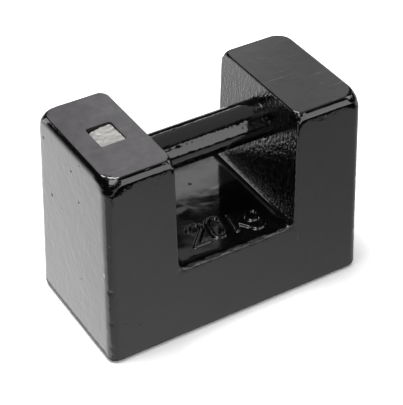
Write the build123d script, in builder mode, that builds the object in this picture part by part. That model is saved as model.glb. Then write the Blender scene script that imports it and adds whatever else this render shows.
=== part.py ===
from build123d import *
import os

# Calibration weight, 20 kg, in the rectangular block form that stacks and is lifted
# by a bar between two uprights.
#
# The block is one iron casting. A round steel bar is cast into its two uprights as
# the grip. The left upright holds the adjusting cavity: a chamber with loose lead
# shot, closed by a mild steel plate on a ledge and sealed by lead driven in over it.
#
# X runs along the length, Y across the width and Z up. The origin is in the middle
# of the base. Millimetres.

# ---- casting ----
base_length = 219.7  # the sides draw in from the base to the top
base_width = 112.0
top_length = 211.8
top_width = 103.3
height = 161.1
corner_radius = 7.4  # the four upright corners
top_edge_radius = 5.9
foot_edge_radius = 4.4

# ---- hand gap between the uprights ----
gap_top_width = 100.6
gap_floor_width = 98.8
gap_floor_height = 64.0
gap_offset = -1.3  # the gap lies a little nearer the left end
gap_root_radius = 6.9  # where the floor turns up into the walls
gap_rim_radius = 1.8  # where the gap breaks out of the faces

# ---- grip bar ----
grip_diameter = 31.0
grip_drop = 31.7  # from the tops of the uprights down to the bar's axis
grip_bed_length = 15.0  # how far each end is cast into its upright
grip_end_chamfer = 1.5

# ---- adjusting cavity, from the top of the left upright down ----
mouth_size_x = 18.9
mouth_size_y = 23.3
mouth_corner_radius = 1.6
mouth_edge_radius = 0.8
mouth_inset = 25.7  # from the edge of the gap to the middle of the mouth
housing_depth = 11.0  # from the top down to the ledge
housing_flare = 0.9  # how far each wall of the housing leans out over its depth
chamber_size_x = 14.0
chamber_size_y = 18.0
chamber_corner_radius = 3.0
chamber_depth = 58.0  # from the ledge down to the chamber's floor

# ---- what closes and fills the cavity ----
plate_thickness = 3.0
plate_clearance = 0.3  # all round, where the plate drops through the mouth
seal_recess = 2.1  # from the top of the upright down to the middle of the lead
seal_tilt = 4.0  # degrees, the lead went down further at its outer back corner
shot_diameter = 5.6
shot_clearance = 0.05  # between balls that lie side by side
shot_rows = 3
shot_columns = 2
shot_layers = 2


# ---- places that several pieces share ----
def gap_half_width(z):
    """Half the width of the gap at the height z, between its drafted walls."""
    share = (z - gap_floor_height) / (height - gap_floor_height)
    return (gap_floor_width + share * (gap_top_width - gap_floor_width)) / 2


def in_gap(face):
    """True for the walls, the roots and the floor of the hand gap."""
    middle = face.center()
    return middle.Z > gap_floor_height / 2 and abs(middle.X - gap_offset) < gap_top_width * 0.6


grip_height = height - grip_drop
grip_length = 2 * (gap_half_width(grip_height) + grip_bed_length)
cavity_x = gap_offset - gap_half_width(height) - mouth_inset
ledge_height = height - housing_depth
plate_top = ledge_height + plate_thickness
chamber_floor = ledge_height - chamber_depth
shot_spacing = shot_diameter + shot_clearance
layer_step = shot_spacing / 2**0.5  # a ball lies in the dip between four others

os.makedirs("parts", exist_ok=True)

# ---- grip bar: round steel, its ends chamfered before it goes into the mould ----
with BuildPart() as grip_bar:
    with BuildSketch(Plane.YZ.offset(gap_offset - grip_length / 2)):
        with Locations((0, grip_height)):
            Circle(grip_diameter / 2)
    extrude(amount=grip_length)
    chamfer(grip_bar.edges().filter_by(GeomType.CIRCLE), grip_end_chamfer)

# ---- seal housing: the space under the mouth, which widens downwards ----
with BuildPart() as seal_housing:
    with BuildSketch(Plane.XY.offset(height)):
        with Locations((cavity_x, 0)):
            RectangleRounded(mouth_size_x, mouth_size_y, mouth_corner_radius)
    with BuildSketch(Plane.XY.offset(ledge_height)):
        with Locations((cavity_x, 0)):
            RectangleRounded(
                mouth_size_x + 2 * housing_flare,
                mouth_size_y + 2 * housing_flare,
                mouth_corner_radius,
            )
    loft(ruled=True)

# ---- weight block: the casting ----
with BuildPart() as weight_block:
    with BuildSketch(Plane.XY):
        RectangleRounded(base_length, base_width, corner_radius)
    with BuildSketch(Plane.XY.offset(height)):
        RectangleRounded(top_length, top_width, corner_radius)
    loft(ruled=True)

    # The hand gap, open at the top, the front and the back.
    with BuildSketch(Plane.XZ) as gap_section:
        with BuildLine():
            Polyline(
                (gap_offset - gap_half_width(height), height),
                (gap_offset - gap_floor_width / 2, gap_floor_height),
                (gap_offset + gap_floor_width / 2, gap_floor_height),
                (gap_offset + gap_half_width(height), height),
                close=True,
            )
        make_face()
        fillet(gap_section.vertices().group_by(Axis.Y)[0], gap_root_radius)
    extrude(amount=base_width, both=True, mode=Mode.SUBTRACT)

    # Outer edges, at the top as far as the gap and all round the foot.
    gap_tops = weight_block.edges(Select.LAST).filter_by(Axis.Y).group_by(Axis.Z)[-1]
    upright_tops = weight_block.faces().group_by(Axis.Z)[-1]
    fillet(upright_tops.edges() - gap_tops, top_edge_radius)
    fillet(weight_block.faces().sort_by(Axis.Z)[0].edges(), foot_edge_radius)

    # The rim of the gap, one run of edges over both walls, the roots and the floor.
    gap_faces = weight_block.faces().filter_by(in_gap)
    across = gap_faces.edges().filter_by(Axis.Y)
    rim = gap_faces.edges() - across + across.group_by(Axis.Z)[-1]
    fillet(rim, gap_rim_radius)

    # The iron has taken the form of the bar's two ends.
    add(grip_bar.part, mode=Mode.SUBTRACT)

    # The seal's housing, its mouth rounded where it breaks out of the top.
    add(seal_housing.part, mode=Mode.SUBTRACT)
    fillet(weight_block.edges(Select.LAST).group_by(Axis.Z)[-1], mouth_edge_radius)

    # The chamber for the shot, narrower, so that its rim is the plate's ledge.
    with BuildSketch(Plane.XY.offset(ledge_height)):
        with Locations((cavity_x, 0)):
            RectangleRounded(chamber_size_x, chamber_size_y, chamber_corner_radius)
    extrude(amount=-chamber_depth, mode=Mode.SUBTRACT)

# ---- cavity plate: drops through the mouth and lies on the ledge ----
with BuildPart() as cavity_plate:
    with BuildSketch(Plane.XY.offset(ledge_height)):
        with Locations((cavity_x, 0)):
            RectangleRounded(
                mouth_size_x - 2 * plate_clearance,
                mouth_size_y - 2 * plate_clearance,
                mouth_corner_radius,
            )
    extrude(amount=plate_thickness)

# ---- seal plug: lead that fills the housing from the plate up to its beaten face ----
beaten_face = Plane((cavity_x, 0, height - seal_recess)).rotated((-seal_tilt, -seal_tilt, 0))
with BuildPart() as seal_plug:
    add(seal_housing.part)
    split(bisect_by=Plane.XY.offset(plate_top), keep=Keep.TOP)
    split(bisect_by=beaten_face, keep=Keep.BOTTOM)

# ---- adjusting shot: a layer on the chamber's floor and a second one in its dips ----
with BuildPart() as adjusting_shot:
    for layer in range(shot_layers):
        with Locations((cavity_x, 0, chamber_floor + shot_diameter / 2 + layer * layer_step)):
            with GridLocations(
                shot_spacing, shot_spacing, shot_columns - layer, shot_rows - layer
            ):
                Sphere(shot_diameter / 2)

grip_bar.part.label = "grip_bar"
weight_block.part.label = "weight_block"
cavity_plate.part.label = "cavity_plate"
seal_plug.part.label = "seal_plug"
adjusting_shot.part.label = "adjusting_shot"

export_step(grip_bar.part, "parts/grip_bar.step")
export_step(weight_block.part, "parts/weight_block.step")
export_step(cavity_plate.part, "parts/cavity_plate.step")
export_step(seal_plug.part, "parts/seal_plug.step")
export_step(adjusting_shot.part, "parts/adjusting_shot.step")
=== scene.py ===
# %% [markdown]
# # A 20 kg block weight
#
# The object is a test weight: one iron casting with two uprights, a hand gap between
# them, a round steel bar cast in as the grip, and an adjusting cavity that is sealed
# with lead. All of it but the lead is sprayed with black gloss enamel.
#
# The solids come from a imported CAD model, already in place and at full size. This
# lesson dresses them: it gives the casting its uneven skin and its raised figures,
# runs paint up round the bar, beats the lead down, and mixes the finishes.

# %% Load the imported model
import math

import bmesh
import bpy
import numpy as np
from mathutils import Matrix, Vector, noise


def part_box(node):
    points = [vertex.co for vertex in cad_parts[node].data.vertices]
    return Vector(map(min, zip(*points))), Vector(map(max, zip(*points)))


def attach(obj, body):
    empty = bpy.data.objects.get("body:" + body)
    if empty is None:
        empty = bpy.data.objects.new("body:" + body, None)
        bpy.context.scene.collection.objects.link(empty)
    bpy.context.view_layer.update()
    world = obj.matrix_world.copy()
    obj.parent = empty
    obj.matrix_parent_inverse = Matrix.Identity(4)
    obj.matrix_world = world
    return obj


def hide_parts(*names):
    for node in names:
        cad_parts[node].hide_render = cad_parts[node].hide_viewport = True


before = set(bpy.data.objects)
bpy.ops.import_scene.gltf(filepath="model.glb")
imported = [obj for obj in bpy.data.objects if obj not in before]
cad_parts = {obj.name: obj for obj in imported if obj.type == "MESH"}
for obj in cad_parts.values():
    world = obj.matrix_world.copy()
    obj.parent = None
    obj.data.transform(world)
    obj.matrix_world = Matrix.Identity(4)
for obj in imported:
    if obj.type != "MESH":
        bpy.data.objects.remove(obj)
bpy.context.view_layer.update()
MM = 0.001

# %% [markdown]
# ## Places on the weight
#
# A few places are needed again and again: the floor and the walls of the hand gap,
# the bar's axis and the mouth of the cavity. They are read from the CAD nodes' boxes,
# so that nothing here has to be measured twice. Only the gap's floor isn't a box of
# its own, so it is found as the largest level face between the uprights.

# %% Read the places from the frame
block_low, block_high = (Vector(corner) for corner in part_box("weight_block"))
bar_low, bar_high = (Vector(corner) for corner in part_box("grip_bar"))
lead_low, lead_high = (Vector(corner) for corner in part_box("seal_plug"))
top_z = block_high.z
bar_middle = (bar_low + bar_high) / 2
bar_radius = (bar_high.z - bar_low.z) / 2
mouth_middle = (lead_low + lead_high) / 2
LEVEL = 0.999  # the least upward share of the normal of a level face


def gap_floor_face(node):
    """The largest level face of the block that lies between its base and its top."""
    mesh = bmesh.new()
    mesh.from_mesh(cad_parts[node].data)
    level = [f for f in mesh.faces if f.normal.z > LEVEL]
    inner = [f for f in level if 10 * MM < f.calc_center_median().z < top_z - 10 * MM]
    in_reach = [f for f in inner if abs(f.calc_center_median().x) < bar_radius * 3]
    floor_face = max(in_reach, key=lambda f: f.calc_area())
    corners = [v.co.copy() for v in floor_face.verts]
    mesh.free()
    return corners


def wall_at(y, z, side):
    """Where the gap's wall stands: side is -1 for the left one and 1 for the right."""
    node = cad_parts["weight_block"]
    _, spot, _, _ = node.ray_cast(Vector((bar_middle.x, y, z)), Vector((side, 0, 0)))
    return spot.x


floor_z = gap_floor_face("weight_block")[0].z
left_wall = wall_at(block_high.y * 0.7, bar_middle.z, -1)
right_wall = wall_at(block_high.y * 0.7, bar_middle.z, 1)
print("gap floor at mm", round(floor_z / MM, 2), "bar radius", round(bar_radius / MM, 2))
print("gap walls at mm", round(left_wall / MM, 2), round(right_wall / MM, 2))

# %% [markdown]
# ## Small helpers for meshes
#
# Cast iron under paint has no truly flat face, and a flat face made of one polygon
# can't be bent. Cutting a mesh with parallel planes keeps every face and fillet
# exactly where it was, and only adds points that can be moved afterwards. Cutting
# just some of the faces puts a finer net where fine detail will stand.


# %% Cut a mesh into a net
def slice_faces(mesh, faces, axis, pitch):
    """Cuts these faces with planes across one axis, a pitch apart, and returns the parts."""
    done = []
    waiting = {}
    start = min(v.co[axis] for f in faces for v in f.verts) + pitch / 2

    def queue(face):
        """Puts a face with the first plane that goes through it."""
        spots = [v.co[axis] for v in face.verts]
        plane = max(0, math.floor((min(spots) + 1e-7 - start) / pitch) + 1)
        if start + plane * pitch < max(spots) - 1e-7:
            waiting.setdefault(plane, []).append(face)
        else:
            done.append(face)

    for face in faces:
        queue(face)
    normal = Vector((axis == 0, axis == 1, axis == 2))
    plane = 0
    while waiting:
        crossed = waiting.pop(plane, [])
        if crossed:
            edges = {e for f in crossed for e in f.edges}
            verts = {v for f in crossed for v in f.verts}
            geometry = list(verts) + list(edges) + crossed
            at = normal * (start + plane * pitch)
            cut = bmesh.ops.bisect_plane(mesh, geom=geometry, dist=1e-8, plane_co=at, plane_no=normal)
            for part in cut["geom"]:
                if isinstance(part, bmesh.types.BMFace):
                    queue(part)
        plane += 1
    return done


def net(mesh, faces, pitch):
    """Cuts these faces across all three axes."""
    for axis in range(3):
        faces = slice_faces(mesh, faces, axis, pitch)


def faces_in(mesh, low, high, test=lambda f: True):
    """The faces whose middles lie in a box and that pass a test."""
    found = []
    for face in mesh.faces:
        middle = face.calc_center_median()
        if all(low[i] <= middle[i] <= high[i] for i in range(3)) and test(face):
            found.append(face)
    return found


def finish_piece(mesh, name, node, material):
    """Turns a bmesh into a smooth piece that rides on the body and replaces its node."""
    data = bpy.data.meshes.new(name)
    mesh.to_mesh(data)
    mesh.free()
    piece = bpy.data.objects.new(name, data)
    bpy.context.scene.collection.objects.link(piece)
    data.shade_smooth()
    data.set_sharp_from_angle(angle=math.radians(38))
    data.materials.append(material)
    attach(piece, "root")
    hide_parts(node)
    triangles = sum(len(p.vertices) - 2 for p in data.polygons)
    print(name, "triangles", triangles)


# %% [markdown]
# ## Helpers for node trees
#
# Every finish below is a small node tree. Effects that several finishes share, such
# as the skin of sprayed enamel or the masks for haze and painted light, are node
# groups: they are built once and give out only heights, masks and colours. The shader
# itself always stays in the material.


# %% Node helpers
def link(tree, source, target):
    """Joins an output socket to an input socket."""
    tree.links.new(source, target)


def value_math(tree, operation, first, second=None):
    """A Math node. Each input is a number or an output socket."""
    node = tree.nodes.new("ShaderNodeMath")
    node.operation = operation
    for socket, value in zip(node.inputs, (first, second)):
        if isinstance(value, (int, float)):
            socket.default_value = value
        elif value is not None:
            link(tree, value, socket)
    return node.outputs[0]

def product(tree, first, *others):
    """Multiplies numbers and sockets, one after the other."""
    for other in others:
        first = value_math(tree, "MULTIPLY", first, other)
    return first

def within(tree, value, middle, reach):
    """1 where a value lies closer to the middle than the reach, otherwise 0."""
    away = value_math(tree, "ABSOLUTE", value_math(tree, "SUBTRACT", value, middle))
    return value_math(tree, "LESS_THAN", away, reach)

def ramp_between(tree, value, low, high):
    """0 below low, 1 above high and a smooth step between."""
    node = tree.nodes.new("ShaderNodeMapRange")
    node.interpolation_type = "SMOOTHSTEP"
    node.inputs["From Min"].default_value = low
    node.inputs["From Max"].default_value = high
    link(tree, value, node.inputs["Value"])
    return node.outputs["Result"]


def noise_at(tree, place, scale, detail=2.0, roughness=0.5):
    """A Noise Texture read at a place, its scale in features per metre."""
    node = tree.nodes.new("ShaderNodeTexNoise")
    node.inputs["Scale"].default_value = scale
    node.inputs["Detail"].default_value = detail
    node.inputs["Roughness"].default_value = roughness
    link(tree, place, node.inputs["Vector"])
    return node.outputs["Fac"]


def stretched(tree, place, scales):
    """The place with each axis scaled, so that a pattern runs long one way."""
    node = tree.nodes.new("ShaderNodeMapping")
    node.inputs["Scale"].default_value = scales
    link(tree, place, node.inputs["Vector"])
    return node.outputs["Vector"]


def mix_colour(tree, factor, first, second):
    """Mixes two colours by a factor socket. Each colour is a tuple or a socket."""
    node = tree.nodes.new("ShaderNodeMix")
    node.data_type = "RGBA"
    link(tree, factor, node.inputs["Factor"])
    for socket, colour in ((node.inputs[6], first), (node.inputs[7], second)):
        if isinstance(colour, tuple):
            socket.default_value = (*colour, 1.0)
        else:
            link(tree, colour, socket)
    return node.outputs[2]


def mix_value(tree, factor, first, second):
    """Mixes two numbers by a factor socket. Each is a number or a socket."""
    node = tree.nodes.new("ShaderNodeMix")
    link(tree, factor, node.inputs["Factor"])
    for socket, value in ((node.inputs[2], first), (node.inputs[3], second)):
        if isinstance(value, (int, float)):
            socket.default_value = value
        else:
            link(tree, value, socket)
    return node.outputs[0]


def group_tree(name, outputs):
    """An empty node group with float outputs, and its Group Output node."""
    tree = bpy.data.node_groups.new(name, "ShaderNodeTree")
    for output in outputs:
        tree.interface.new_socket(output, in_out="OUTPUT", socket_type="NodeSocketFloat")
    return tree, tree.nodes.new("NodeGroupOutput")


def add_input(tree, name, default):
    """A float input of a node group."""
    socket = tree.interface.new_socket(name, in_out="INPUT", socket_type="NodeSocketFloat")
    socket.default_value = default

def object_place(tree):
    """The place of a point on its own object, in metres."""
    return tree.nodes.new("ShaderNodeTexCoord").outputs["Object"]

def parts_of(tree, vector):
    """The X, Y and Z outputs of a vector."""
    node = tree.nodes.new("ShaderNodeSeparateXYZ")
    link(tree, vector, node.inputs["Vector"])
    return node.outputs

def bump_by(tree, shader, height):
    """Bends a shader's normal by a height in millimetres."""
    bump = tree.nodes.new("ShaderNodeBump")
    bump.inputs["Distance"].default_value = MM
    link(tree, height, bump.inputs["Height"])
    link(tree, bump.outputs["Normal"], shader.inputs["Normal"])

# %% [markdown]
# ## The skin of sprayed enamel
#
# Gloss enamel sprayed on rough iron never lies flat. It has a soft orange peel, a
# slower swell from the sand of the mould, wrinkles on the walls of the gap, and a pit
# here and there where the paint sank into the casting. On the gap's floor it has
# pooled and is almost smooth. All of them are heights in millimetres, added up in one
# group, and a Bump node in the material turns them into slopes.

# %% Enamel skin group
PEEL_SCALE = 230  # scales are in features per metre
PEEL_HEIGHT = 0.105
FINE_SCALE = 620
FINE_HEIGHT = 0.022
POOL_REACH = 2.5 * MM  # how far from the level of the gap's floor the paint has pooled
POOL_PEEL = 0.14  # the share of the peel that is left there
FOLD_SCALES = (380, 480, 260)
FOLD_HEIGHT = 0.8
FOLD_REACH = 56 * MM  # only the walls of the gap lie this near the middle
SWELL_SCALE = 75
SWELL_HEIGHT = 0.12
PIT_SCALE = 95
PIT_FREE = 0.80  # the share of the cells that have no pit
PIT_SIZE = 0.17  # the largest pit, as a share of its cell
PIT_HEIGHT = -0.30

def build_enamel_skin():
    """The height of the paint's skin, and a mask of its pits."""
    tree, out = group_tree("enamel_skin", ["Height", "Pits"])
    for name in ("Peel", "Swell", "Pitting"):
        add_input(tree, name, 1.0)
    given = tree.nodes.new("NodeGroupInput").outputs
    place = object_place(tree)
    axes = parts_of(tree, place)
    slope = parts_of(tree, tree.nodes.new("ShaderNodeNewGeometry").outputs["True Normal"])

    coarse = product(tree, noise_at(tree, place, PEEL_SCALE, 1.0), PEEL_HEIGHT)
    fine = product(tree, noise_at(tree, place, FINE_SCALE, 1.0), FINE_HEIGHT)
    upward = value_math(tree, "GREATER_THAN", slope["Z"], 0.3)
    pooled = product(tree, within(tree, axes["Z"], floor_z, POOL_REACH), upward)
    left_over = mix_value(tree, pooled, 1.0, POOL_PEEL)
    peel = product(tree, value_math(tree, "ADD", coarse, fine), given["Peel"], left_over)

    sideways = ramp_between(tree, value_math(tree, "ABSOLUTE", slope["X"]), 0.80, 0.98)
    walls = product(tree, sideways, within(tree, axes["X"], 0.0, FOLD_REACH))
    folds = noise_at(tree, stretched(tree, place, FOLD_SCALES), 1.0, 2.0, 0.6)
    folds = product(tree, folds, walls, FOLD_HEIGHT)
    swell = product(tree, noise_at(tree, place, SWELL_SCALE, 1.0), SWELL_HEIGHT, given["Swell"])

    cells = tree.nodes.new("ShaderNodeTexVoronoi")
    cells.inputs["Scale"].default_value = PIT_SCALE
    link(tree, place, cells.inputs["Vector"])
    tone = tree.nodes.new("ShaderNodeSeparateColor")
    link(tree, cells.outputs["Color"], tone.inputs["Color"])
    chosen = value_math(tree, "GREATER_THAN", tone.outputs["Red"], PIT_FREE)
    size = product(tree, tone.outputs["Green"], PIT_SIZE)
    inside = value_math(tree, "SUBTRACT", size, cells.outputs["Distance"])
    pit = product(tree, ramp_between(tree, inside, 0.0, 0.05), chosen, given["Pitting"])

    height = value_math(tree, "ADD", peel, swell)
    height = value_math(tree, "ADD", height, folds)
    height = value_math(tree, "ADD", height, product(tree, pit, PIT_HEIGHT))
    link(tree, height, out.inputs["Height"])
    link(tree, pit, out.inputs["Pits"])
    return tree

enamel_skin = build_enamel_skin()
print("group", enamel_skin.name, "nodes", len(enamel_skin.nodes))

# %% [markdown]
# ## Haze where weights are stacked, and painted light behind the bar
#
# The tops of the uprights carry other weights, so they have lost some gloss. The floor
# of the gap behind the bar is made duller and is painted a touch lighter, as painted
# light behind the edge of the bar's shadow. The walls of the cavity's mouth hold grime
# and hardly shine. The group gives a mask for each from the place and the facing of
# the surface, and one for the fine scratches of sliding iron.

# %% Haze and painted light masks group
WEAR_STARTS = 0.6 * MM  # below the top
WEAR_FULL = 0.3 * MM
LIT_BAND_WANDER = 1.6 * MM
LIT_BAND_EDGE = (17.2 * MM, 18.6 * MM)
SCRATCH_SCALES = (38, 950, 60)  # long in X and fine in Y
GRIME_HALF = (12 * MM, 14 * MM)  # half the window round the mouth

def build_haze_and_light_masks():
    """Masks of worn tops, of the floor behind the bar that is painted lighter, of scratches and of
    grime.
    """
    tree, out = group_tree("haze_and_light_masks", ["Tops", "Lit Floor Band", "Scratches", "Grime"])
    place = object_place(tree)
    axes = parts_of(tree, place)
    slope = parts_of(tree, tree.nodes.new("ShaderNodeNewGeometry").outputs["Normal"])
    level = ramp_between(tree, slope["Z"], 0.90, 0.985)
    high = ramp_between(tree, axes["Z"], top_z - WEAR_STARTS, top_z - WEAR_FULL)
    link(tree, product(tree, level, high), out.inputs["Tops"])

    # The floor behind the edge of the bar's shadow, painted a little lighter as painted light, and
    # made duller.
    wander = product(tree, noise_at(tree, place, 160, 2.0), LIT_BAND_WANDER)
    behind = ramp_between(tree, value_math(tree, "ADD", axes["Y"], wander), *LIT_BAND_EDGE)
    low = value_math(tree, "LESS_THAN", axes["Z"], floor_z + 6 * MM)
    aloft = value_math(tree, "GREATER_THAN", axes["Z"], floor_z - 3 * MM)
    link(tree, product(tree, behind, level, low, aloft), out.inputs["Lit Floor Band"])

    lines = noise_at(tree, stretched(tree, place, SCRATCH_SCALES), 1.0, 3.0, 0.6)
    link(tree, ramp_between(tree, lines, 0.66, 0.73), out.inputs["Scratches"])
    steep = value_math(tree, "LESS_THAN", slope["Z"], 0.75)
    in_x = within(tree, axes["X"], mouth_middle.x, GRIME_HALF[0])
    in_y = within(tree, axes["Y"], 0.0, GRIME_HALF[1])
    link(tree, product(tree, in_x, in_y, steep), out.inputs["Grime"])
    return tree

haze_and_light_masks = build_haze_and_light_masks()
print("group", haze_and_light_masks.name, "nodes", len(haze_and_light_masks.nodes))

# %% [markdown]
# ## Black gloss enamel
#
# The finish of the casting and of the bar. It is nearly black, so almost all that is
# seen of it is reflection: the plain dielectric shader does that, and the skin group
# only bends the reflections. Wear lifts the roughness of the tops. Their colour is
# lifted to a grey that is partly wear and partly painted sheen, and the left top is
# painted lighter than the right one. The floor of the gap behind the bar is painted a
# touch lighter, as painted light behind the edge of the bar's shadow.

# %% Enamel material
BLACK = ((0.0015, 0.0015, 0.0016), (0.003, 0.0029, 0.003))
# The tops' grey is partly wear and partly painted sheen; the left top is painted lighter than the
# right one.
WORN_AND_SHEEN_GREY = ((0.112, 0.107, 0.112), (0.040, 0.038, 0.040))  # left top, right top
SCRATCH_GREY = (0.20, 0.195, 0.20)
# Painted light: the gap's floor behind the bar's shadow edge gets this touch lighter black.
LIT_BAND_GREY = (0.006, 0.006, 0.006)
SCRATCH_HEIGHT = -0.012
GLOSS = (0.05, 0.09)
DULLER = (("Tops", 0.30), ("Lit Floor Band", 0.16), ("Grime", 0.9))
PIT_ROUGHNESS = 0.6

def place_group(tree, group, values=()):
    """Places a node group, sets its inputs and returns its outputs."""
    node = tree.nodes.new("ShaderNodeGroup")
    node.node_tree = group
    for name, value in values:
        node.inputs[name].default_value = value
    return node.outputs

def build_enamel(name, peel, swell, pitting):
    """Black gloss enamel with its own share of peel, swell and pits."""
    material = bpy.data.materials.new(name)
    material.use_nodes = True
    tree = material.node_tree
    shader = tree.nodes["Principled BSDF"]
    skin = place_group(tree, enamel_skin, (("Peel", peel), ("Swell", swell), ("Pitting", pitting)))
    haze_and_light = place_group(tree, haze_and_light_masks)
    place = object_place(tree)

    mottle = ramp_between(tree, noise_at(tree, place, 60, 3.0), 0.35, 0.70)
    black = mix_colour(tree, mottle, *BLACK)
    # Painted sheen: the tops turn grey, the left top lighter than the right one, partly for wear.
    side = ramp_between(tree, parts_of(tree, place)["X"], left_wall, right_wall)
    grey = mix_colour(tree, side, *WORN_AND_SHEEN_GREY)
    blotch = ramp_between(tree, noise_at(tree, place, 110, 5.0, 0.65), 0.30, 0.70)
    patchy = product(tree, haze_and_light["Tops"], mix_value(tree, blotch, 0.74, 1.0))
    worn_and_sheen = mix_colour(tree, patchy, black, grey)
    scratched = product(tree, haze_and_light["Scratches"], haze_and_light["Tops"])
    worn_and_sheen = mix_colour(tree, scratched, worn_and_sheen, SCRATCH_GREY)
    # Painted light: the floor behind the bar's shadow edge is painted a little lighter.
    base_with_painted_light = mix_colour(tree, haze_and_light["Lit Floor Band"], worn_and_sheen, LIT_BAND_GREY)
    link(tree, base_with_painted_light, shader.inputs["Base Color"])

    rough = mix_value(tree, mottle, *GLOSS)
    for mask, roughness in DULLER:
        rough = mix_value(tree, haze_and_light[mask], rough, roughness)
    rough = mix_value(tree, skin["Pits"], rough, PIT_ROUGHNESS)
    link(tree, rough, shader.inputs["Roughness"])
    shader.inputs["IOR"].default_value = 1.5

    scored = product(tree, scratched, SCRATCH_HEIGHT)
    bump_by(tree, shader, value_math(tree, "ADD", skin["Height"], scored))
    return material

block_enamel = build_enamel("block_enamel", 1.0, 1.0, 1.0)
bar_enamel = build_enamel("bar_enamel", 1.6, 0.8, 0.4)
print("materials", block_enamel.name, bar_enamel.name)

# %% [markdown]
# ## Lead and steel
#
# The seal is soft lead, beaten flat with a punch: pale grey, dull, with lighter
# bruises and darker dirt in random blotches. The plate and the shot lie hidden under it.
# They get plain finishes of their own, so that nothing is left bare if the weight is
# ever cut open.


# %% Lead and steel materials
def build_grey_metal(name, light, dark, roughness, grain):
    """A dull metal, blotched between a dark and a light grey."""
    material = bpy.data.materials.new(name)
    material.use_nodes = True
    tree = material.node_tree
    shader = tree.nodes["Principled BSDF"]
    place = object_place(tree)
    blotch = ramp_between(tree, noise_at(tree, place, grain, 4.0, 0.6), 0.32, 0.68)
    link(tree, mix_colour(tree, blotch, dark, light), shader.inputs["Base Color"])
    link(tree, mix_value(tree, blotch, roughness + 0.12, roughness), shader.inputs["Roughness"])
    shader.inputs["Metallic"].default_value = 0.85
    bump_by(tree, shader, product(tree, noise_at(tree, place, grain * 6, 2.0), 0.03))
    return material


beaten_lead = build_grey_metal("beaten_lead", (0.64, 0.63, 0.61), (0.47, 0.46, 0.445), 0.50, 300)
mild_steel = build_grey_metal("mild_steel", (0.42, 0.42, 0.43), (0.30, 0.30, 0.31), 0.40, 120)
lead_shot = build_grey_metal("lead_shot", (0.34, 0.34, 0.35), (0.22, 0.22, 0.23), 0.45, 300)
for node, material in (("cavity_plate", mild_steel), ("adjusting_shot", lead_shot)):
    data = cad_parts[node].data
    for index in range(len(data.materials)):
        data.materials[index] = material
print("hidden pieces dressed: cavity_plate, adjusting_shot")

# %% [markdown]
# ## The raised figures
#
# The nominal mass stands on the floor of the gap, cast in one with the block: soft
# strokes with sloping flanks and rounded tops. Each figure here is drawn as a centre
# line of its own in a plain upright hand, then sheared a little, and the floor is
# lifted by its distance from that line. This gives the flanks and the soft foot of a
# real casting, which a text object with a bevel wouldn't.

# %% Figure centre lines
FIGURE_TALL = 22.3 * MM  # centre line of a numeral, from foot to head
FIGURE_WIDE = 11.4 * MM
STROKE_HALF = 1.0 * MM  # half the flat top of a stroke
FLANK = 1.2 * MM
RELIEF = 1.4 * MM
SLANT = 0.20
FIGURE_FOOT_Y = -37.0 * MM


def arc(middle, radius, start, end, steps=14):
    """Points along an arc, the angles in degrees."""
    turns = [math.radians(start + (end - start) * i / steps) for i in range(steps + 1)]
    return [(middle[0] + radius * math.cos(t), middle[1] + radius * math.sin(t)) for t in turns]


def numeral_two():
    """One stroke: the round head, down to the foot and along it."""
    r = FIGURE_WIDE / 2
    head = arc((r, FIGURE_TALL - r), r, 170, -32)
    return [head + [(0.0, 0.0), (FIGURE_WIDE, 0.0)]]


def numeral_nought():
    """One closed stroke: two half rounds with straight sides."""
    r = FIGURE_WIDE / 2
    upper = arc((r, FIGURE_TALL - r), r, 0, 180)
    lower = arc((r, r), r, 180, 360)
    return [upper + lower + [upper[0]]]


def letter_k():
    """Three strokes: the stem, the arm and the leg."""
    tall = FIGURE_TALL * 0.80
    waist = FIGURE_TALL * 0.22
    reach = FIGURE_WIDE * 0.80
    return [
        [(0.0, 0.0), (0.0, tall)],
        [(0.0, waist), (reach, FIGURE_TALL * 0.52)],
        [(reach * 0.38, waist * 1.42), (reach * 1.05, 0.0)],
    ]


def letter_g():
    """Two strokes: the round bowl, and the stem with its hooked tail."""
    r = FIGURE_WIDE * 0.44
    bowl = arc((r, r + 4.6 * MM), r, 0, 360, 22)
    right = 2 * r
    tail = [(right, FIGURE_TALL * 0.60), (right, -0.6 * MM)] + arc((r, -0.6 * MM), r, 0, -150)
    return [bowl, tail]


FIGURES = (
    (numeral_two(), -26.8 * MM),
    (numeral_nought(), -10.2 * MM),
    (letter_k(), 9.6 * MM),
    (letter_g(), 21.4 * MM),
)

strokes = []
for lines, left in FIGURES:
    for line in lines:
        placed = [(x + left + SLANT * y, y + FIGURE_FOOT_Y) for x, y in line]
        strokes += list(zip(placed[:-1], placed[1:]))
stroke_from = np.array([s[0] for s in strokes])
stroke_to = np.array([s[1] for s in strokes])
marking_low = np.minimum(stroke_from, stroke_to).min(axis=0) - FLANK - STROKE_HALF - MM
marking_high = np.maximum(stroke_from, stroke_to).max(axis=0) + FLANK + STROKE_HALF + MM
print("strokes", len(strokes))
print("marking in mm", np.round(marking_low / MM, 1), np.round(marking_high / MM, 1))


# %% Height of the figures over the floor
def figure_height(points):
    """How far each (x, y) point of the floor is lifted by the figures."""
    along = stroke_to - stroke_from
    length2 = np.maximum((along**2).sum(axis=1), 1e-12)
    lift = np.zeros(len(points))
    for start, step, size in zip(stroke_from, along, length2):
        share = np.clip(((points - start) @ step) / size, 0, 1)
        away = np.linalg.norm(points - start - share[:, None] * step, axis=1)
        rise = np.clip(1 - (away - STROKE_HALF) / FLANK, 0, 1)
        lift = np.maximum(lift, rise * rise * (3 - 2 * rise))
    return lift * RELIEF


# %% [markdown]
# ## The casting
#
# The block starts as the CAD node's own mesh, so that every fillet and every fit
# stays true. Its flat faces are joined back into single polygons and then cut into a
# net: finest where the figures stand, fine at the corners, along the edges of the two
# stacking faces and on the sill of the gap, and 4 mm elsewhere. Most fine parts are
# cut first, because each cut takes longer the larger the mesh has grown.

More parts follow.
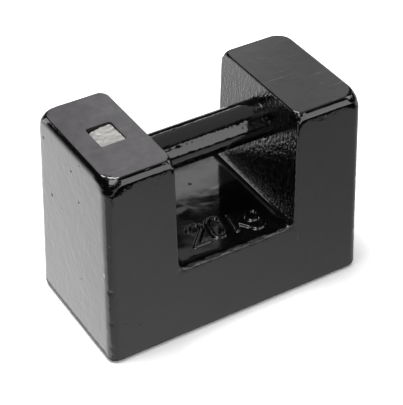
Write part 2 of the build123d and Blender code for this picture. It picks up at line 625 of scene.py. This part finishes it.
# %% Build the net of the casting
FIGURE_PITCH = 0.5 * MM
CORNER_PITCH = 1.0 * MM
EDGE_PITCH = 0.7 * MM
NET_PITCH = 4.0 * MM
CORNER_REACH = 15.0 * MM
EDGE_REACH = 10.0 * MM

casting = bmesh.new()
casting.from_mesh(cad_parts["weight_block"].data)
bmesh.ops.remove_doubles(casting, verts=casting.verts, dist=1e-6)
bmesh.ops.dissolve_limit(
    casting, angle_limit=math.radians(0.05), verts=casting.verts, edges=casting.edges
)


def cut_window(mesh, low, high, test):
    """Cuts the faces that pass a test along the sides of a window in X and Y."""
    for axis in (0, 1):
        normal = Vector((axis == 0, axis == 1, 0))
        for at in (low[axis], high[axis]):
            faces = [f for f in mesh.faces if test(f)]
            edges = list({e for f in faces for e in f.edges})
            verts = list({v for f in faces for v in f.verts})
            parts = faces + edges + verts
            bmesh.ops.bisect_plane(mesh, geom=parts, plane_co=normal * at, plane_no=normal)


def on_gap_floor(face):
    """True for the flat floor of the hand gap."""
    return face.normal.z > LEVEL and abs(face.calc_center_median().z - floor_z) < 0.1 * MM


def on_top(face):
    """True for the flat tops of the uprights."""
    return face.normal.z > LEVEL and face.calc_center_median().z > top_z - 0.1 * MM


cut_window(casting, marking_low, marking_high, on_gap_floor)
marked = faces_in(
    casting, (*marking_low, floor_z - MM), (*marking_high, floor_z + MM), on_gap_floor
)
slice_faces(casting, slice_faces(casting, marked, 0, FIGURE_PITCH), 1, FIGURE_PITCH)
flat_half_x = max(v.co.x for f in casting.faces if on_top(f) for v in f.verts)
flat_half_y = max(v.co.y for f in casting.faces if on_top(f) for v in f.verts)
window = (flat_half_x - 4 * MM, flat_half_y - 4 * MM)
cut_window(casting, (-window[0], -window[1]), window, on_top)
print("faces after the fine cuts", len(casting.faces))

# %% Cut the edges of the stacking faces and the corners
high = top_z - EDGE_REACH
for face_x in (block_low.x, block_high.x):
    low_x = min(face_x, math.copysign(window[0], face_x))
    high_x = max(face_x, math.copysign(window[0], face_x))
    edge = faces_in(casting, (low_x, block_low.y, high), (high_x, block_high.y, top_z + MM))
    slice_faces(casting, slice_faces(casting, edge, 2, EDGE_PITCH), 0, EDGE_PITCH)
for face_y in (block_low.y, block_high.y):
    low_y = min(face_y, math.copysign(window[1], face_y))
    high_y = max(face_y, math.copysign(window[1], face_y))
    edge = faces_in(casting, (block_low.x, low_y, high), (block_high.x, high_y, top_z + MM))
    slice_faces(casting, slice_faces(casting, edge, 2, EDGE_PITCH), 1, EDGE_PITCH)
net(casting, list(casting.faces), NET_PITCH)
for side_x in (-1, 1):
    corner_x = side_x * (flat_half_x - MM)
    low = (min(corner_x, side_x * 1.0), -1.0, top_z - CORNER_REACH)
    far = (max(corner_x, side_x * 1.0), block_low.y + CORNER_REACH, 1.0)
    net(casting, faces_in(casting, low, far), CORNER_PITCH)
    wall_x = left_wall if side_x < 0 else right_wall
    low = (min(wall_x, wall_x + side_x * 9 * MM) - MM, -1.0, top_z - EDGE_REACH)
    far = (max(wall_x, wall_x + side_x * 9 * MM) + MM, 1.0, 1.0)
    outer_band = [f for f in faces_in(casting, low, far) if abs(f.calc_center_median().y) > 42 * MM]
    slice_faces(casting, outer_band, 0, CORNER_PITCH)
front_corner = faces_in(casting, (-1.0, -1.0, 0.0), (-99 * MM, -46 * MM, 1.0))
slice_faces(casting, front_corner, 2, CORNER_PITCH)
sill = faces_in(
    casting, (left_wall, block_low.y, floor_z - 8 * MM), (right_wall, -44 * MM, floor_z + MM)
)
for axis, pitch in ((2, EDGE_PITCH), (1, EDGE_PITCH), (0, 2 * MM)):
    sill = slice_faces(casting, sill, axis, pitch)
print("net faces", len(casting.faces))

# %% [markdown]
# ## How the edges really run
#
# The tops of the uprights are the faces that another weight stands on, so they were
# ground flat after casting. The cast rounding of the edge is a little larger than the
# fillet, and the grinding cuts it off in a faint crease, which is what breaks the
# reflection into two lines. The corners are rubbed rounder than the edges between
# them. Both are done by moving points towards or away from a centre inside the edge.

# %% Outline of the block near its top
CAST_ROUND = 9.0 * MM
GROUND_OFF = 2.1 * MM
CREASE = 0.8 * MM
PLAN_ROUND = 7.4 * MM
refine_low = [v.co for v in casting.verts if v.co.z < 6 * MM]
refine_high = [v.co for v in casting.verts if top_z - 12 * MM < v.co.z < top_z - 8 * MM]
low_z = max(c.z for c in refine_low if c.x > block_high.x - 0.05 * MM)
face_low = Vector((max(c.x for c in refine_low), max(c.y for c in refine_low), low_z))
high_z = sum(c.z for c in refine_high) / len(refine_high)
face_high = Vector((max(c.x for c in refine_high), max(c.y for c in refine_high), high_z))


def half_sizes(z):
    """Half the length and half the width of the block at a height."""
    share = (z - face_low.z) / (face_high.z - face_low.z)
    return face_low.lerp(face_high, share)


def inward(place):
    """How deep a point lies behind the nearest outer face, and that face's outward way."""
    half = half_sizes(place.z)
    over = Vector((abs(place.x) - half.x + PLAN_ROUND, abs(place.y) - half.y + PLAN_ROUND))
    sign = Vector((math.copysign(1, place.x), math.copysign(1, place.y)))
    if over.x > 0 and over.y > 0:
        away = over.length
        return PLAN_ROUND - away, Vector((over.x * sign.x, over.y * sign.y, 0)) / away
    if over.x > over.y:
        return PLAN_ROUND - over.x, Vector((sign.x, 0, 0))
    return PLAN_ROUND - over.y, Vector((0, sign.y, 0))


def soft_least(a, b, width):
    """The smaller of two lengths, rounded off where they meet."""
    share = max(0.0, min(1.0, 0.5 + 0.5 * (b - a) / width))
    return b + (a - b) * share - width * share * (1 - share)


def ground_edge(place):
    """Moves a point near the top edge onto the cast rounding, cut off by the top."""
    deep, outward = inward(place)
    centre_down = CAST_ROUND - GROUND_OFF
    across = deep - CAST_ROUND
    down = (top_z - place.z) - centre_down
    if across >= 0 or down >= 0:
        return place
    away = math.hypot(across, down)
    to_top = centre_down * away / max(-down, 1e-9)
    wanted = min(soft_least(CAST_ROUND, to_top, CREASE), to_top)
    change = wanted / away
    new_deep = CAST_ROUND + across * change
    new_z = min(top_z, top_z - centre_down - down * change)
    moved = place + outward * (deep - new_deep)
    moved.z = new_z
    return moved


def rub_corner(place, corner, inner_way, reach, most):
    """Pulls a point in where a corner stands further out than its worn ball."""
    inner = corner + Vector(inner_way) * reach
    away = [(inner[axis] - place[axis]) * inner_way[axis] / reach for axis in range(3)]
    if min(away) <= 0 or max(away) > 1.5:
        return place
    size = math.sqrt(sum(a * a for a in away))
    ramp = min(1.0, min(away) / 0.4)
    strength = ramp * ramp * (3 - 2 * ramp)
    wanted = min(size, soft_least(size, most, 0.12))
    return inner + (place - inner) * (1 + (wanted / size - 1) * strength)


# %% [markdown]
# ## Sand, knocks and figures
#
# Each point sinks a little below the CAD surface, never above it: the slow swell of a
# sand mould, and a few knocks from years of handling at the two front corners. The
# corners of the tops are rubbed, and the sill of the gap is worn unevenly. The figures
# are the one thing that stands proud of the gap's floor.

# %% Sink the skin, knock the edges and raise the figures
SWELL_DEPTH = 0.30 * MM
SWELL_LONG = 46 * MM
SWELL_SHORT = 15 * MM
GRIND_STOP = 3 * MM  # the ground edge stops this far from the walls of the gap
OUTER_RUB = 13.0 * MM
INNER_RUB = 8.0 * MM
OUTER_WEAR = {(-1, -1): 1.14, (-1, 1): 1.24, (1, -1): 1.18, (1, 1): 1.22}
INNER_WEAR = 1.20
SILL_REACH = 2.4 * MM
SILL_RUB = 0.8 * MM
KNOCKS = (  # place in mm, radius in mm, depth in mm
    ((-105.8, -52.2, 66.0), 1.8, 0.8),
    ((-106.5, -53.0, 38.0), 2.2, 0.35),
    ((-107.4, -53.8, 15.0), 2.4, 0.4),
    ((-107.6, -54.0, 6.0), 1.8, 0.5),
    ((-105.0, -51.0, 98.0), 1.6, 0.25),
    ((105.0, -51.5, 84.0), 1.8, 0.3),
    ((106.0, -53.0, 33.0), 2.4, 0.35),
)
half_top = half_sizes(top_z)
worn_corners = []
for side_x in (-1, 1):
    for side_y in (-1, 1):
        outer = Vector((side_x * half_top.x, side_y * half_top.y, top_z))
        wear = OUTER_WEAR[(side_x, side_y)]
        worn_corners.append((outer, (-side_x, -side_y, -1), OUTER_RUB, wear))
        wall_x = left_wall if side_x < 0 else right_wall
        inner = Vector((wall_x, side_y * half_top.y, top_z))
        worn_corners.append((inner, (side_x, -side_y, -1), INNER_RUB, INNER_WEAR))
casting.normal_update()
marked_verts = [v for v in casting.verts if abs(v.co.z - floor_z) < 0.2 * MM and v.normal.z > 0.99]
marked_lift = figure_height(np.array([(v.co.x, v.co.y) for v in marked_verts]))
for vert in casting.verts:
    place = vert.co.copy()
    if place.z > top_z - CORNER_REACH * 1.2:
        if not left_wall - GRIND_STOP < place.x < right_wall + GRIND_STOP:
            place = ground_edge(place)
        for corner, inner_way, reach, wear in worn_corners:
            place = rub_corner(place, corner, inner_way, reach, wear)
    slow = noise.noise(place / SWELL_LONG) * 0.65 + noise.noise(place / SWELL_SHORT) * 0.35
    sink = SWELL_DEPTH * (0.5 + 0.5 * max(-1.0, min(1.0, slow)))
    if place.y < -40 * MM and left_wall < place.x < right_wall and place.z < floor_z + MM:
        away = math.hypot(place.y + half_sizes(floor_z).y, place.z - floor_z) / SILL_REACH
        ragged = 0.7 + 0.9 * noise.noise(place / (5 * MM))
        sink += SILL_RUB * ragged * math.exp(-away * away)
    if place.y < 0 and abs(place.x) > flat_half_x - 2 * MM:
        for middle, radius, depth in KNOCKS:
            away = (place / MM - Vector(middle)).length / radius
            if away < 2.2:
                sink += depth * MM * math.exp(-away * away)
    vert.co = place - vert.normal * sink if place.z > 0.5 * MM else place
for vert, lift in zip(marked_verts, marked_lift):
    vert.co.z += lift
finish_piece(casting, "cast_block", "weight_block", block_enamel)

# %% [markdown]
# ## The grip bar
#
# The bar is smooth drawn steel, but the paint on it isn't: it hangs in soft waves, and
# where the bar goes into the iron it fills the corner with a small bead. The bar is
# one revolved profile. Its radius swells at both ends for the bead, and its points
# wander by up to two tenths of a millimetre.

# %% Grip bar
BAR_RINGS = 150
BAR_SIDES = 128
BEAD_REACH = 1.2 * MM
BEAD_RISE = 0.25 * MM

bar = bmesh.new()
rings = []
for ring in range(BAR_RINGS + 1):
    x = left_wall - 2 * MM + (right_wall - left_wall + 4 * MM) * ring / BAR_RINGS
    to_wall = max(0.0, min(x - left_wall, right_wall - x))
    corner = max(0.0, 1 - to_wall / BEAD_REACH)
    bead = BEAD_RISE * (1 - math.sqrt(max(0.0, 1 - corner * corner)))
    row = []
    for side in range(BAR_SIDES):
        turn = 2 * math.pi * side / BAR_SIDES
        around = Vector((x, math.cos(turn) * bar_radius, math.sin(turn) * bar_radius))
        wave = 0.10 * MM * (noise.noise(around / (18 * MM)) - 1)
        uneven = bead * (0.75 + 0.4 * noise.noise(around / (7 * MM)))
        radius = bar_radius + wave + uneven
        y = bar_middle.y + math.cos(turn) * radius
        z = bar_middle.z + math.sin(turn) * radius
        row.append(bar.verts.new((x, y, z)))
    rings.append(row)
for near_ring, far_ring in zip(rings[:-1], rings[1:]):
    for side in range(BAR_SIDES):
        after = (side + 1) % BAR_SIDES
        bar.faces.new((near_ring[side], near_ring[after], far_ring[after], far_ring[side]))
bar.faces.new(rings[0])
bar.faces.new(list(reversed(rings[-1])))
bmesh.ops.recalc_face_normals(bar, faces=bar.faces)
finish_piece(bar, "painted_bar", "grip_bar", bar_enamel)

# %% [markdown]
# ## The lead seal
#
# The lead was driven into its housing with a punch and doesn't fill it evenly: it
# stands almost level at the inner front corner, drops towards the outer back corner,
# and has torn away from the wall there. Its face is a small height field with punch
# marks, closed down to the plate so that it is a solid plug.

# %% Lead seal
LEAD_STEPS = 60
MOUTH_HALF_X = 9.6 * MM
MOUTH_HALF_Y = 11.8 * MM
PUNCH_MARKS = (  # place in X and Y, reach and depth, all in mm
    (-2.5, 3.0, 4.6, 0.35),
    (3.4, -2.0, 4.2, 0.40),
    (-3.5, -6.0, 3.8, 0.30),
    (4.5, 6.5, 3.6, 0.30),
)


def lead_level(u, v):
    """Depth of the lead's face below the top, u and v from -1 to 1 over the mouth."""
    x, y = u * MOUTH_HALF_X / MM, v * MOUTH_HALF_Y / MM
    depth = 2.05 - 0.030 * x + 0.045 * y
    depth += 1.5 * max(0.0, -u) ** 2 * max(0.0, v) ** 2
    for mark_x, mark_y, reach, sunk in PUNCH_MARKS:
        away = math.hypot(x - mark_x, y - mark_y) / reach
        depth += sunk * math.exp(-away**4)
    depth += 0.25 * noise.noise(Vector((x, y, 3.0)) / 3.2)
    rim = max(abs(u), abs(v))
    depth -= 0.35 * max(0.0, rim - 0.86) / 0.14 * (0.5 + noise.noise(Vector((x, y, 9.0)) / 2.0))
    return max(0.75, depth)


lead = bmesh.new()
face_rows = []
for i in range(LEAD_STEPS + 1):
    row = []
    for j in range(LEAD_STEPS + 1):
        u, v = 2 * i / LEAD_STEPS - 1, 2 * j / LEAD_STEPS - 1
        tear = 1.5 * MM * max(0.0, v - 0.80) / 0.20 * max(0.0, 0.35 - u) / 1.35
        x = mouth_middle.x + u * (MOUTH_HALF_X + 0.1 * MM)
        y = mouth_middle.y + v * (MOUTH_HALF_Y + 0.1 * MM) - tear
        row.append(lead.verts.new((x, y, top_z - lead_level(u, v) * MM)))
    face_rows.append(row)
for i in range(LEAD_STEPS):
    for j in range(LEAD_STEPS):
        near_row, far_row = face_rows[i], face_rows[i + 1]
        lead.faces.new((near_row[j], far_row[j], far_row[j + 1], near_row[j + 1]))
border = [row[0] for row in face_rows] + face_rows[-1][1:]
border += [row[-1] for row in reversed(face_rows[:-1])] + list(reversed(face_rows[0][1:-1]))
foot = [lead.verts.new((v.co.x, v.co.y, lead_low.z)) for v in border]
for index in range(len(border)):
    after = (index + 1) % len(border)
    lead.faces.new((border[index], foot[index], foot[after], border[after]))
lead.faces.new(list(reversed(foot)))
bmesh.ops.recalc_face_normals(lead, faces=lead.faces)
finish_piece(lead, "beaten_seal", "seal_plug", beaten_lead)

# %% [markdown]
# ## Floor and room
#
# Black gloss shows little but its surroundings, so the room is built as a reflection
# first and as a light second. The weight stands on a white sheet in a dark room with
# a dim ceiling. The floor is drawn brighter for the camera alone, so that it reads as
# pure white and only the contact shadow is left of the shade round the foot.


# %% Sheets that glow
def glowing(name, strength):
    """A plain emission material."""
    material = bpy.data.materials.new(name)
    material.use_nodes = True
    tree = material.node_tree
    tree.nodes.remove(tree.nodes["Principled BSDF"])
    light = tree.nodes.new("ShaderNodeEmission")
    light.inputs["Strength"].default_value = strength
    link(tree, light.outputs["Emission"], tree.nodes["Material Output"].inputs["Surface"])
    return material


def sheet_of(name, corners, material):
    """A flat staged sheet with these four corners."""
    data = bpy.data.meshes.new(name)
    data.from_pydata(corners, [], [(0, 1, 2, 3)])
    data.materials.append(material)
    board = bpy.data.objects.new(name, data)
    bpy.context.scene.collection.objects.link(board)
    return board


def only_reflected(board):
    """Lets a staged sheet be seen by nothing but reflections."""
    board.visible_camera = False
    board.visible_diffuse = False
    board.visible_transmission = False
    board.visible_volume_scatter = False
    board.visible_shadow = False


def lying_card(name, x_range, y_range, strength):
    """A card that lies on the floor and is seen only in reflections."""
    (x0, x1), (y0, y1) = x_range, y_range
    lift = 0.5 * MM
    corners = [(x0, y0, lift), (x1, y0, lift), (x1, y1, lift), (x0, y1, lift)]
    only_reflected(sheet_of(name, corners, glowing(name + "_glow", strength)))


def fade_along(name, axis, places, strengths):
    """Makes a card's glow change evenly between two places along an axis."""
    tree = bpy.data.objects[name].active_material.node_tree
    share = ramp_between(tree, parts_of(tree, object_place(tree))[axis], *places)
    link(tree, mix_value(tree, share, *strengths), tree.nodes["Emission"].inputs["Strength"])


def facing_card(name, way, distance, half, strength):
    """A square card that looks at the weight from one direction."""
    middle = Vector(way).normalized() * distance
    turn = middle.to_track_quat("Z", "Y")
    signs = ((-1, -1), (1, -1), (1, 1), (-1, 1))
    corners = [middle + turn @ Vector((x * half, y * half, 0)) for x, y in signs]
    only_reflected(sheet_of(name, corners, glowing(name + "_glow", strength)))


def standing_card(name, x_range, y, z_range, strength):
    """A card that stands across the room and is seen only in reflections."""
    (x0, x1), (z0, z1) = x_range, z_range
    corners = [(x0, y, z0), (x1, y, z0), (x1, y, z1), (x0, y, z1)]
    only_reflected(sheet_of(name, corners, glowing(name + "_glow", strength)))


# %% White floor
FLOOR_HALF = 4.0
FLOOR_WHITE = 0.90
FLOOR_LIFT = 0.75  # added to the floor's white, for the camera only


def build_floor():
    """A white sheet, drawn brighter for the camera alone."""
    material = bpy.data.materials.new("floor_paint")
    material.use_nodes = True
    tree = material.node_tree
    tree.nodes.remove(tree.nodes["Principled BSDF"])
    plain = tree.nodes.new("ShaderNodeBsdfDiffuse")
    plain.inputs["Color"].default_value = (FLOOR_WHITE, FLOOR_WHITE, FLOOR_WHITE, 1)
    lifted = tree.nodes.new("ShaderNodeBsdfDiffuse")
    is_camera = tree.nodes.new("ShaderNodeLightPath").outputs["Is Camera Ray"]
    link(tree, product(tree, is_camera, FLOOR_LIFT), lifted.inputs["Color"])
    both = tree.nodes.new("ShaderNodeAddShader")
    link(tree, plain.outputs["BSDF"], both.inputs[0])
    link(tree, lifted.outputs["BSDF"], both.inputs[1])
    link(tree, both.outputs["Shader"], tree.nodes["Material Output"].inputs["Surface"])
    h = FLOOR_HALF
    sheet_of("studio_floor", [(-h, -h, 0), (h, -h, 0), (h, h, 0), (-h, h, 0)], material)


build_floor()
print("floor half size in m:", FLOOR_HALF)

# %% [markdown]
# ## Cards for the reflections
#
# Each card stands where one part of the weight looks at it. The front box draws the
# streak along the bar and the strip on the rounded edges, with a dark sheet below it
# so that both end in a black line. The sheet at the left lightens the end face. The
# cards at the back brighten the far part of the gap's floor and its curved root, and
# stop where the rounded left edges look, so that those stay black.

# %% Cards
FRONT_Y = -0.50  # where the front box stands
SHEET_END_Y = -0.265  # where the light sheet in front gives way to the dark one
BACK_Y = 0.45  # where the cards behind the weight stand
BOX_GLOW = 3.2
standing_card("front_box", (-0.05, 0.56), FRONT_Y, (0.02, 0.40), BOX_GLOW)
standing_card("front_box_high", (0.23, 0.352), FRONT_Y, (0.40, 0.61), BOX_GLOW)
lying_card("front_dark", (-0.5, 1.4), (FRONT_Y, SHEET_END_Y), 0.01)
lying_card("front_sheet", (-0.16, 0.60), (SHEET_END_Y, block_low.y - 2 * MM), 0.9)
fade_along("front_sheet", "X", (-0.12, 0.20), (1.10, 0.72))
lying_card("left_sheet", (-0.62, block_low.x - 3 * MM), (-0.06, 0.50), 2.25)
lying_card("back_sheet", (-0.11, 0.30), (block_high.y + 2 * MM, 0.44), 1.35)
standing_card("root_box", (-0.43, -0.30), BACK_Y, (0.05, 0.37), BOX_GLOW)
standing_card("gap_box", (0.14, 0.385), BACK_Y, (0.40, 0.4505), 3.5)
standing_card("gap_box_edge", (0.14, 0.385), BACK_Y, (0.4505, 0.468), 0.95)
standing_card("rim_box", (0.46, 1.0), BACK_Y, (0.10, 0.44), 2.4)
standing_card("back_dim", (0.14, 0.80), BACK_Y, (0.522, 0.80), 0.68)
facing_card("high_left_box", (-0.45, -0.45, 0.77), 1.5, 0.28, 6.0)
facing_card("high_right_box", (0.80, -0.25, 0.55), 1.5, 0.35, 4.0)
print("cards placed")

# %% The dark room with its dim ceiling
ROOM_RADIUS = 5.5
CEILING_EDGE = (3.9, 4.5)  # heights between which the walls turn into the ceiling
ROOM_GLOW = (0.03, 0.62)  # walls, ceiling

def build_room():
    """A sphere round everything that only reflections see."""
    mesh = bmesh.new()
    bmesh.ops.create_uvsphere(mesh, u_segments=64, v_segments=32, radius=ROOM_RADIUS)
    data = bpy.data.meshes.new("dark_room")
    mesh.to_mesh(data)
    mesh.free()
    room = bpy.data.objects.new("dark_room", data)
    bpy.context.scene.collection.objects.link(room)
    material = glowing("dark_room_glow", 1.0)
    tree = material.node_tree
    ceiling = ramp_between(tree, parts_of(tree, object_place(tree))["Z"], *CEILING_EDGE)
    link(tree, mix_value(tree, ceiling, *ROOM_GLOW), tree.nodes["Emission"].inputs["Strength"])
    data.materials.append(material)
    only_reflected(room)


build_room()

# %% World and the overhead lamp
WORLD_STRENGTH = 0.55
LAMP_DISTANCE = 2.4
world = bpy.data.worlds.new("studio_white")
bpy.context.scene.world = world
world.use_nodes = True
background = world.node_tree.nodes["Background"]
background.inputs["Color"].default_value = (1, 1, 1, 1)
background.inputs["Strength"].default_value = WORLD_STRENGTH


def soft_lamp(name, way, distance, size, power):
    """A square area lamp that looks at the weight from one direction."""
    lamp = bpy.data.lights.new(name, "AREA")
    lamp.energy = power
    lamp.size = size
    holder = bpy.data.objects.new(name, lamp)
    holder.location = Vector(way).normalized() * distance
    holder.rotation_euler = holder.location.to_track_quat("Z", "Y").to_euler()
    bpy.context.scene.collection.objects.link(holder)
    return holder


overhead = soft_lamp("overhead_lamp", (-0.15, 0.10, 0.98), LAMP_DISTANCE, 0.75, 32)
print("world", WORLD_STRENGTH, "overhead lamp", overhead.data.energy)

# %% [markdown]
# ## The camera
#
# The view looks down at the weight over its left front corner, from little over a metre
# away with a long lens, so that the upright edges stay nearly parallel.

# %% Camera
CAMERA_PLACE = Vector((-0.4519, -0.7426, 0.7475))
CAMERA_FORWARD = Vector((0.41028, 0.67335, -0.61504))
FOCAL_PIXELS = 1463.0
FRAME_PIXELS = 405.0
lens = bpy.data.cameras.new("camera")
lens.sensor_width = 36.0
lens.lens = FOCAL_PIXELS * lens.sensor_width / FRAME_PIXELS
lens.clip_start = 0.05
lens.clip_end = 60.0
camera = bpy.data.objects.new("camera", lens)
camera.location = CAMERA_PLACE
camera.rotation_euler = CAMERA_FORWARD.to_track_quat("-Z", "Y").to_euler()
bpy.context.scene.collection.objects.link(camera)
bpy.context.scene.camera = camera
bpy.context.scene.view_settings.view_transform = "Standard"
print("lens mm", round(lens.lens, 1))
